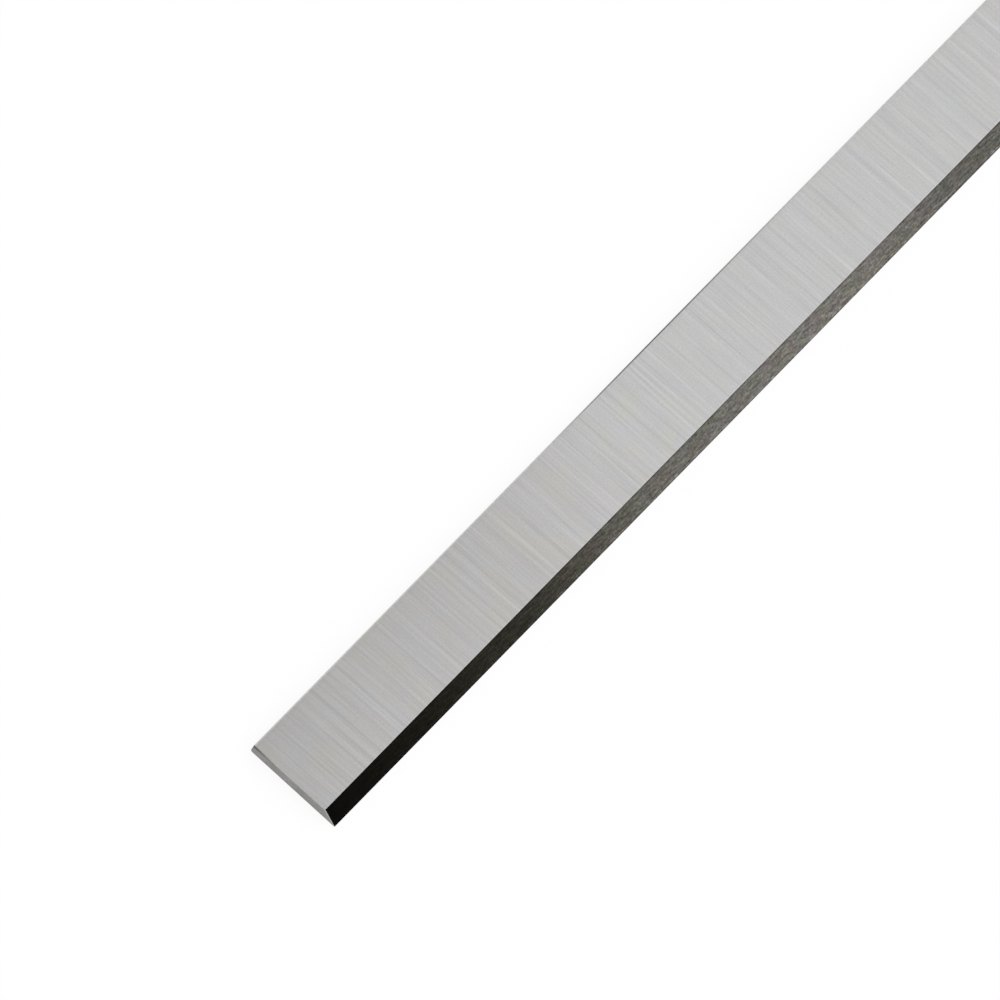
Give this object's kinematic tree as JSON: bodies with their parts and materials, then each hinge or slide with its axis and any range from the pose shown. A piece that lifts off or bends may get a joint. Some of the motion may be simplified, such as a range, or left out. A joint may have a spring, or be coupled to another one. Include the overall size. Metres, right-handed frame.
{
  "type": "planer knife",
  "caption": "Straight flat steel planer knife with one ground bevel along its cutting edge and shallow locating recesses in its back face beside the heel.",
  "frame": {"origin": "middle of the back face, which the knife lies on", "axes": "+X along the knife, +Y from the cutting edge to the heel, +Z out of the front face"},
  "size_m": [0.3174, 0.0254, 0.0032],
  "materials": {
    "ground_steel": "surface ground across the width; dark ground bevel; black scale left in the recesses"
  },
  "bodies": {
    "root": {"planer_knife": "ground_steel"}
  },
  "joints": []
}
